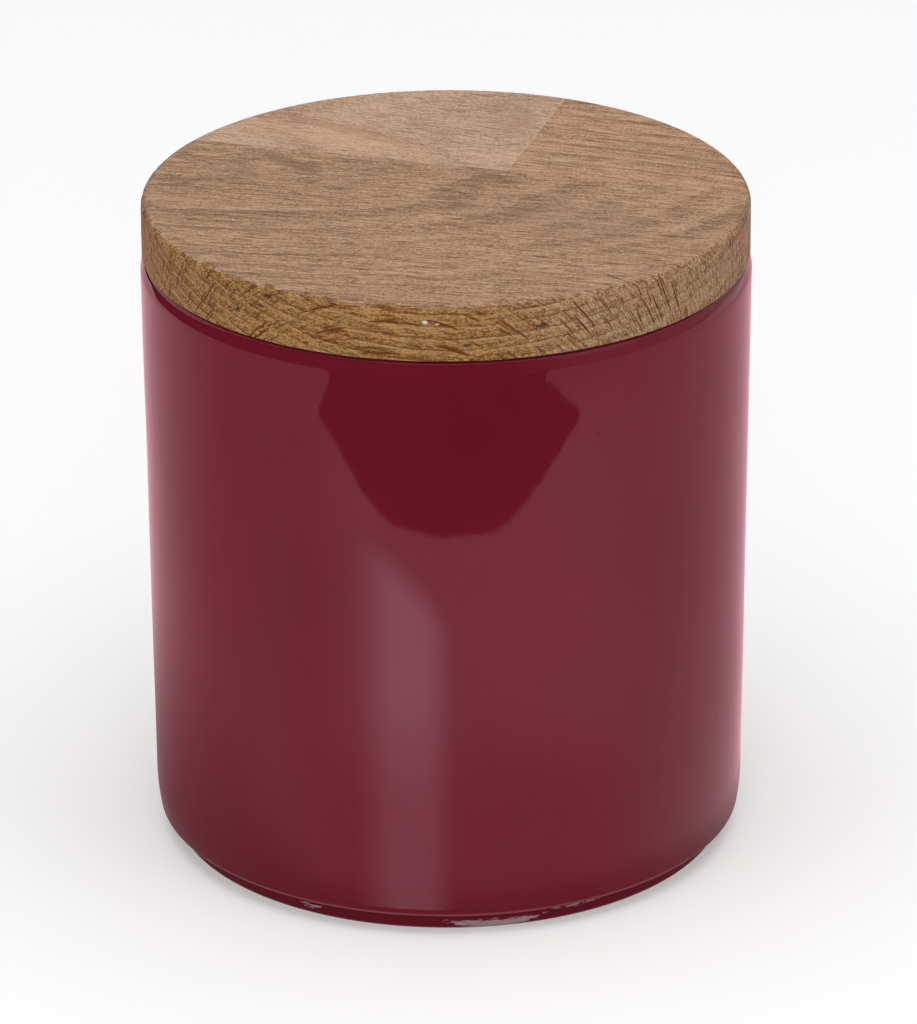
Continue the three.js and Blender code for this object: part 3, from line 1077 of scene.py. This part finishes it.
# %% [markdown]
# Burgundy glaze
#
# The glaze is a deep red glass over pale clay. Most of its look is reflection, so the colour itself stays
# quiet: a slow drift, a few pinholes, and a paler line along the rounded edge of the heel, which is partly
# glaze running thin over that edge and partly a painted highlight of it. The foot has been pushed about on
# shelves, so its glaze is rubbed through in a few streaks, and the ring it stands on is bare clay, because a
# pot glazed there would stick to the kiln. All of it is placed by height and by angle round the pot.

# %% Glaze on the pot
GLAZE = seen(108, 24, 39)
GLAZE_DEEP = seen(96, 18, 32)
# pale line on the heel edge: partly thin glaze, partly a painted highlight of the rounded edge
THIN_GLAZE_AND_HIGHLIGHT = seen(158, 84, 92)
GLAZE_TINT = (1.0, 0.36, 0.51, 1.0)
GLAZE_IOR = 1.43
GLAZE_ROUGHNESS = 0.028
GLAZE_HAZE = 0.02
GLAZE_DRIFT = ((22, 22, 30), 3.0)
GLAZE_FLOW = 0.012 * MM
FLOW_WAVES = ((9, 9, 9), 1.0)
PINHOLE = seen(66, 14, 22)
PINHOLES = ((13, 13, 13), 0.01, 0.028, 0.3)
PINHOLE_STRENGTH = 0.8
PINHOLE_DEPTH = 4.0
THIN_AND_HIGHLIGHT_HEIGHT = FOOT_HEIGHT + 0.45 * HEEL_EDGE_ROUND
THIN_AND_HIGHLIGHT_SHOWS = (0.5, 0.1)
THIN_AND_HIGHLIGHT_STRENGTH = 0.55
RUBBED = seen(168, 150, 150)
RUBBED_STRENGTH = 0.85
RUBBED_ROUGHNESS = 0.55
RUBBED_GRAIN = ((2.2, 0.3, 1), 4.0, 0.7)
RUBBED_FRAY = 2.6
RUBBED_MEAN = 0.56
RUBBED_SHOWS = (-0.05, 0.18)
RUBBED_OUTSIDE = (foot_radius / MM - 2.0, foot_radius / MM - 1.0)
RUBBED_STREAKS = ((25.5, 11.0, 0.9, 0.9, 0.95), (-13.0, 3.2, 1.7, 0.3, 0.45), (43.0, 7.0, 2.3, 0.1, 0.3))
BARE_CLAY = seen(196, 184, 168)
BARE_ROUGHNESS = 0.8
BARE_FRAY = 0.3
BARE_SHOWS = (0.5, 0.3)


def rubbed_streak(angle, height, frayed, middle, half_width, low, lift, thick):
    """A worn streak on the foot: along the angle, in degrees, it lies on a curve that lifts by the square of
    the way from its middle, and it thins to nothing at its ends; noise frays it."""
    out = calc("DIVIDE", calc("SUBTRACT", angle, middle), half_width)
    square = product(out, out)
    off = away_from(height, total(low, product(lift, square)))
    left = calc("SUBTRACT", product(thick, inverse(square)), off)
    return ease(total(left, frayed), *RUBBED_SHOWS)


def glaze_finish(piece):
    """Gloss glaze with its drift, pinholes, a heel edge of thin glaze and painted highlight, rubbed foot and
    bare standing ring.
    """
    shader = new_material("burgundy_glaze", piece)
    point = in_millimetres(own_place(shader))
    x, y, height = parts(point)
    angle = product(calc("ARCTAN2", x, product(-1.0, y)), math.degrees(1))
    drift = noise(point, *GLAZE_DRIFT)
    colour = blend(drift, GLAZE_DEEP, GLAZE)
    pinholes = flecks(point, *PINHOLES)
    colour = blend(product(PINHOLE_STRENGTH, pinholes), colour, PINHOLE)
    # painted highlight: the pale line on the heel's rounded edge is partly thin glaze and partly a painted
    # highlight
    thin = ease(away_from(height, THIN_AND_HIGHLIGHT_HEIGHT / MM), *THIN_AND_HIGHLIGHT_SHOWS)
    colour = blend(product(THIN_AND_HIGHLIGHT_STRENGTH, thin), colour, THIN_GLAZE_AND_HIGHLIGHT)

    grain = noise(joined(angle, height, 0.0), *RUBBED_GRAIN)
    frayed = product(RUBBED_FRAY, calc("SUBTRACT", grain, RUBBED_MEAN))
    worn, *others = [rubbed_streak(angle, height, frayed, *streak) for streak in RUBBED_STREAKS]
    for other in others:
        worn = calc("MAXIMUM", worn, other)
    from_axis = calc("SQRT", total(product(x, x), product(y, y)))
    worn = product(worn, ease(from_axis, *RUBBED_OUTSIDE))
    colour = blend(product(RUBBED_STRENGTH, worn), colour, RUBBED)
    bare = ease(total(height, product(BARE_FRAY, grain)), *BARE_SHOWS)
    colour = blend(bare, colour, BARE_CLAY)

    matt = calc("MAXIMUM", product(RUBBED_ROUGHNESS, worn), product(BARE_ROUGHNESS, bare))
    waves = total(noise(point, *FLOW_WAVES), product(-PINHOLE_DEPTH, pinholes))
    fill(shader, Base_Color=colour, Roughness=total(GLAZE_ROUGHNESS, product(GLAZE_HAZE, drift), matt),
         Normal=bumped(waves, GLAZE_FLOW), IOR=GLAZE_IOR, Specular_Tint=GLAZE_TINT)
    print("glaze with", len(shader.id_data.nodes), "nodes")


glaze_finish(pot)

# %% [markdown]
# Silicone
#
# The seal is a milky, slightly see-through rubber. Light goes into it and comes out again nearby, which the
# shader's subsurface setting gives. A fine mould texture keeps its highlights soft, and dust clings to it.

# %% Silicone on the seal
SILICONE = seen(226, 222, 212)
SILICONE_DUSTY = seen(205, 199, 186)
SILICONE_IOR = 1.41
SILICONE_ROUGHNESS = 0.34
DUST = ((6, 6, 2), 4.0)
DUST_ROUGHNESS = 0.3
MILKINESS = 0.35
MILK_REACH = (2 * MM, 1.8 * MM, 1.5 * MM)
PEBBLES = ((0.25, 0.25, 0.25), 1.0)
PEBBLE_DEPTH = 0.02 * MM


def silicone_finish(piece):
    """Milky rubber: a pale colour that drifts to a dustier one, and a fine pebbled surface."""
    shader = new_material("milky_silicone", piece)
    point = in_millimetres(own_place(shader))
    dust = noise(point, *DUST)
    fill(shader, Base_Color=blend(dust, SILICONE, SILICONE_DUSTY), IOR=SILICONE_IOR,
         Roughness=total(SILICONE_ROUGHNESS, product(DUST_ROUGHNESS, dust)),
         Subsurface_Weight=MILKINESS, Subsurface_Radius=MILK_REACH, Subsurface_Scale=1.0,
         Normal=bumped(noise(point, *PEBBLES), PEBBLE_DEPTH))
    print("silicone with", len(shader.id_data.nodes), "nodes")


silicone_finish(seal)

# %% [markdown]
# Floor and light
#
# Everything stands on a plain pale floor under soft, even light: a large box overhead, a weaker one on each
# side and one in front, and a plain sky that fills the shadows. The floor glows a little for the camera and
# for reflections only, so that it reads as white and still keeps the soft shadow of the jar.

# %% Floor and world
FLOOR_DROP = 0.05 * MM
FLOOR_HALF = 6.0
FLOOR_LINES = 3
FLOOR_PALE = 0.84
FLOOR_ROUGHNESS = 0.9
FLOOR_GLOW = 0.22
AMBIENT = 0.56
SHEET_CREASE = 60


def shown_rays(tree):
    """1 for rays that come from the camera, a mirror or glass, 0 for rays that gather light."""
    rays = add_node(tree, "LightPath").outputs
    mirror = calc("MAXIMUM", rays["Is Glossy Ray"], rays["Is Transmission Ray"])
    return calc("MAXIMUM", rays["Is Camera Ray"], mirror)


def link_sheet(name, grid):
    """An object from a grid of corners that closes nowhere."""
    rows, columns = grid.shape[:2]
    return link_mesh(name, grid, ring_faces(rows, columns)[:, :-1], SHEET_CREASE)


floor_line = np.linspace(-FLOOR_HALF, FLOOR_HALF, FLOOR_LINES)
floor_grid = np.broadcast_arrays(floor_line[:, None], floor_line[None, :], -FLOOR_DROP)
floor = link_sheet("pale_floor", np.stack(floor_grid, axis=-1))
shader = new_material("pale_floor", floor)
fill(shader, Base_Color=(FLOOR_PALE, FLOOR_PALE, FLOOR_PALE, 1), Roughness=FLOOR_ROUGHNESS,
     Specular_IOR_Level=0.0, Emission_Color=WHITE,
     Emission_Strength=product(FLOOR_GLOW, shown_rays(shader.id_data)))

world = bpy.data.worlds.new("studio")
bpy.context.scene.world = world
world.use_nodes = True
sky = world.node_tree.nodes["Background"]
fill(sky, Color=WHITE, Strength=at_least(AMBIENT, shown_rays(world.node_tree)))
print("sky of", AMBIENT, "for light and 1 for the camera and reflections")

# %% Lamps
SOFT_BOXES = {
    "box_overhead": ((0.05, 0.25, 1.5), 1.4, 8.0),
    "box_left": ((-1.3, 0.8, 0.9), 1.0, 2.2),
    "box_right": ((1.3, 0.8, 0.9), 1.0, 2.2),
    "box_front": ((0.0, 2.2, 1.1), 1.2, 10.5),
}
towards_flat = Vector((math.sin(CAMERA_AZIMUTH), -math.cos(CAMERA_AZIMUTH), 0))


def soft_box(name, place, size, power):
    """A square soft box that looks at the middle of the jar, from so far to the right of the picture, so far
    towards the camera and so high."""
    right, near, up = place
    lamp = bpy.data.objects.new(name, bpy.data.lights.new(name, "AREA"))
    bpy.context.scene.collection.objects.link(lamp)
    lamp.data.size = size
    lamp.data.energy = power
    lamp.location = picture_right * right + towards_flat * near + Vector((0, 0, up))
    lamp.rotation_mode = "QUATERNION"
    lamp.rotation_quaternion = (Vector((0, 0, AIM_HEIGHT)) - lamp.location).to_track_quat("-Z", "Y")


for name, (place, size, power) in SOFT_BOXES.items():
    soft_box(name, place, size, power)
    print(name, "of", size, "m and", power, "W")

# %% [markdown]
# Cards that paint reflections on the glaze
#
# The glaze is a dark mirror, and from this high up its wall shows nothing but the floor round it. So the
# veil on the wall is the pale floor. The dark bell under the lid is a painted reflection: a dark card that
# starts about 16 cm in front of the pot. The dark band under the rim is a painted reflection too, from a
# dark surround at eye level. Both are seen by reflections only, so they add no light and no shadow to the
# pot or the floor.

# %% Lay a card
CARD_LIFT = 0.4 * MM
NEUTRAL = (1.0, 1.0, 1.0)
PAINTED_DARK_LEVEL = 0.02


def lay_card(name, right, near, up, colour, level, cover):
    """A glowing sheet that paints a reflection, from grids of places to the right, towards the camera and
    up, with a grid of how fully it covers what lies behind it. Nothing but mirror reflections sees it."""
    grid = np.stack(np.broadcast_arrays(right, near, up), axis=-1)
    card = link_sheet(name, grid @ np.array([picture_right, towards_flat, (0, 0, 1)]))
    share = card.data.attributes.new("cover", "FLOAT", "POINT")
    share.data.foreach_set("value", np.broadcast_to(cover, grid.shape[:2]).ravel())
    shader = new_material(name, card)
    tree = shader.id_data
    tree.nodes.remove(shader)
    glow = fill(add_node(tree, "Emission"), Color=(*colour, 1.0), Strength=level)[0]
    clear = add_node(tree, "BsdfTransparent").outputs[0]
    covered = add_node(tree, "Attribute", attribute_name="cover").outputs["Fac"]
    mixed = join_node("MixShader", [covered, clear, glow])
    feed(tree.nodes["Material Output"].inputs["Surface"], mixed.outputs[0])
    card.visible_camera = False
    card.visible_diffuse = False
    card.visible_transmission = False
    card.visible_shadow = False


def eased(value, low, high):
    """0 at low, 1 at high and an S-shaped change between, for whole arrays."""
    share = np.clip((value - low) / (high - low), 0, 1)
    return share ** 2 * (3 - 2 * share)


def within(value, rise, fall):
    """An S-shaped rise over one pair of values, times a fall over another."""
    return eased(value, *rise) * eased(value, *fall)


print("a card half eased in covers", eased(np.array(0.5), 0, 1))

# %% The dark card, a painted dark reflection
# Angles are degrees round the wall and lengths are millimetres along the floor.
MIRROR_RADIUS = 54.5
BELL_CENTRE = 0.2
BELL_LEFT = 24.9
BELL_RIGHT = 26.4
BELL_COLUMNS = 161
BELL_ROWS = 49
BELL_NEAR = 165
BELL_FAR = 600
BELL_BOW = 0.02
BELL_BOWL = 11.0
BELL_FLARE = 1.5
BELL_ROUNDING = 3.5
BELL_RIPPLE = 0.7
RIPPLE_RATES = (1.3, 0.7)
CORNER_LEFT = 0.1
CORNER_RIGHT = 0.3
CORNER_SPAN = (220, 246)


def mirrored(degrees, away):
    """Where the wall, at an angle from its front, mirrors the floor: from the wall's point R (sin a, cos a),
    go the given distance along (sin 2a, cos 2a)."""
    angle = np.radians(degrees)
    right = MIRROR_RADIUS * np.sin(angle) + away * np.sin(2 * angle)
    near = MIRROR_RADIUS * np.cos(angle) + away * np.cos(2 * angle)
    return right * MM, near * MM


outward = np.linspace(0, 1, BELL_ROWS)[:, None]
off_centre = np.linspace(-BELL_LEFT, BELL_RIGHT, BELL_COLUMNS)[None, :]
past_bowl = np.abs(off_centre) - BELL_BOWL
quick_wave, slow_wave = (rate * off_centre for rate in RIPPLE_RATES)
near_edge = (BELL_NEAR + BELL_BOW * off_centre ** 2
             + BELL_FLARE * (past_bowl + np.hypot(past_bowl, BELL_ROUNDING))
             + BELL_RIPPLE * np.sin(quick_wave) * np.cos(slow_wave))
away = near_edge + outward ** 2 * (BELL_FAR - near_edge)
corner_cut = np.where(off_centre > 0, CORNER_RIGHT, CORNER_LEFT) * eased(away, *CORNER_SPAN)
bell_place = mirrored(BELL_CENTRE + off_centre * (1 - corner_cut), away)
# painted reflection: this dark sheet is seen only by reflections and paints the dark bell under the lid
lay_card("painted_dark_reflection", *bell_place, 3 * CARD_LIFT, NEUTRAL, PAINTED_DARK_LEVEL, 1.0)

# %% The dark surround, a painted dark reflection
SURROUND = 0.65
SURROUND_RIGHT = 1.6
SURROUND_LOW = 0.13
SURROUND_HIGH = 0.75
SURROUND_THINNING = 0.65
RISE_LEFT = (-0.4, 0.6)
RISE_RIGHT = (-1.0, -0.4)
STAND_BACK = (0.35, 1.4)
COME_NEAR = (3.1, 2.6)
THIN_OUT = (0.35, 0.9)
ROUND_COLUMNS = 97
NEARLY_ROUND = 0.99999

turn = np.pi * np.linspace(-NEARLY_ROUND, NEARLY_ROUND, ROUND_COLUMNS)[None, :]
in_front = np.cos(turn)
raised = np.where(turn < 0, eased(in_front, *RISE_LEFT), eased(in_front, *RISE_RIGHT))
surround_top = SURROUND_LOW + (SURROUND_HIGH - SURROUND_LOW) * raised
stood_back = within(turn, STAND_BACK, COME_NEAR)
surround = SURROUND + (SURROUND_RIGHT - SURROUND) * stood_back
painted_surround_cover = 1 - SURROUND_THINNING * eased(turn, *THIN_OUT)
# painted reflection: a dark ring seen only by reflections paints the dark band under the rim
lay_card("painted_dark_surround", surround * np.sin(turn), surround * in_front, outward * surround_top,
         NEUTRAL, PAINTED_DARK_LEVEL, painted_surround_cover)

# %% [markdown]
# A painted bright strip, painted rose edges and a painted shadow at the foot
#
# Down the front runs a soft streak, a painted reflection of something long and bright, with a faint glow
# round it. The far edges of the wall are painted rose: a glowing rose sheet on the floor behind the pot is
# what they mirror at a grazing angle. Close to the foot a dark sheet paints the reflection of the pot's own
# shadow on the floor. Each is one more card with its own cover: the streak is laid out in angles round the
# wall, so that it stands upright, the other two round the pot.

# %% The bright strip, a painted reflection
PAINTED_STRIP_COLOUR = (0.65, 1.0, 0.9)
PAINTED_STRIP_LEVEL = 4.8
STRIP_ROWS = 81
STRIP_ANGLES = (-30, 45)
STRIP_REACH = (4, 264)
STRIP_LEFT = (-19.5, -8.8)
STRIP_RIGHT = (2.4, -5.2)
STRIP_NEAR_COVER = 0.5
STRIP_RISE = (45, 105)
STRIP_END = 169
STRIP_END_ANGLE = -16.4
STRIP_END_SLOPE = 2.2
STRIP_END_FADE = (6, -14)
HALO = 0.17
HALO_LEFT = (-29, -16)
HALO_RIGHT = (44, 20)
HALO_RISE = (45, 95)
HALO_END = (260, 200)

wall_angle = np.linspace(*STRIP_ANGLES, 2 * STRIP_ROWS)[None, :]
away = np.linspace(*STRIP_REACH, STRIP_ROWS)[:, None]
past_end = away - STRIP_END + STRIP_END_SLOPE * (wall_angle - STRIP_END_ANGLE)
painted_strip_cover = within(wall_angle, STRIP_LEFT, STRIP_RIGHT) * eased(past_end, *STRIP_END_FADE)
painted_strip_cover = painted_strip_cover * (STRIP_NEAR_COVER + (1 - STRIP_NEAR_COVER) * eased(away, *STRIP_RISE))
painted_halo_cover = HALO * within(wall_angle, HALO_LEFT, HALO_RIGHT) * within(away, HALO_RISE, HALO_END)
painted_strip_cover = painted_strip_cover + painted_halo_cover * (1 - painted_strip_cover)
# painted reflection: a sheet glowing at 4.8, seen only by reflections, paints the bright streak and its
# faint glow
lay_card("painted_bright_reflection", *mirrored(wall_angle, away), 2 * CARD_LIFT, PAINTED_STRIP_COLOUR, PAINTED_STRIP_LEVEL, painted_strip_cover)

# %% The rose card and the foot's shade, both painted reflections
ROSE = (0.96, 0.53, 0.60)
PAINTED_ROSE_LEVEL = 1.0
ROSE_NEAR = 0.052
ROSE_FAR = 0.64
ROSE_FADE = 0.85
ROSE_BEGINS = (45, 120)
ROSE_ENDS = (308, 272)
ROSE_COLUMNS = 95
ROSE_ROWS = 41
SHADE_COVER = 0.7
SHADE_FRONT = 0.078
SHADE_RIGHT = 0.066
SHADE_LEFT = 0.145
SHADE_ROWS = 25
SHADE_CHANGES = (
    (SHADE_RIGHT - SHADE_FRONT, (20, 100)),
    (SHADE_LEFT - SHADE_RIGHT, (170, 220)),
    (SHADE_FRONT - SHADE_LEFT, (285, 330)),
)

behind = np.linspace(ROSE_BEGINS[0], ROSE_ENDS[0], ROSE_COLUMNS)[None, :]
reach = np.linspace(0, 1, ROSE_ROWS)[:, None] * (ROSE_FAR - ROSE_NEAR) + ROSE_NEAR
painted_rose_cover = within(behind, ROSE_BEGINS, ROSE_ENDS) * eased(reach, ROSE_FAR, ROSE_FADE * ROSE_FAR)
# painted reflection: a rose sheet glowing at level 1, seen only by reflections, paints the rose far edges of
# the wall
lay_card("painted_rose_reflection", reach * np.sin(np.radians(behind)), reach * np.cos(np.radians(behind)),
         0.5 * CARD_LIFT, ROSE, PAINTED_ROSE_LEVEL, painted_rose_cover)

from_foot = foot_radius + np.linspace(0, 1, SHADE_ROWS)[:, None] ** 2 * (SHADE_LEFT - foot_radius)
round_foot = np.degrees(turn) % 360
shade_end = SHADE_FRONT + sum(change * eased(round_foot, *span) for change, span in SHADE_CHANGES)
# painted shadow: a dark sheet seen only by reflections darkens the glaze near the foot, standing in for the
# pot's shadow
lay_card("foot_shade", from_foot * np.sin(turn), from_foot * np.cos(turn), CARD_LIFT,
         NEUTRAL, PAINTED_DARK_LEVEL, SHADE_COVER * eased(from_foot, shade_end, ROSE_NEAR))

# %% [markdown]
# Which body each piece belongs to
#
# The lid lifts out of the pot and can be turned in its mouth, with the seal held still by the wall. So the
# pot, the seal and the three staves together each ride on their own body, and each piece stands for the
# solid that it was measured from.

# %% Ride on bodies and hide the measured solids
riders = [
    (pot, "jar", "jar_body", "glaze"),
    (seal, "seal", "seal_ring", "silicone"),
    (front_stave, "lid", "lid_stave_front", "oak_front"),
    (left_stave, "lid", "lid_stave_rear_left", "oak_rear_left"),
    (right_stave, "lid", "lid_stave_rear_right", "oak_rear_right"),
]
for piece, body, node, finish in riders:
    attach(piece, body)
    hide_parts(node)
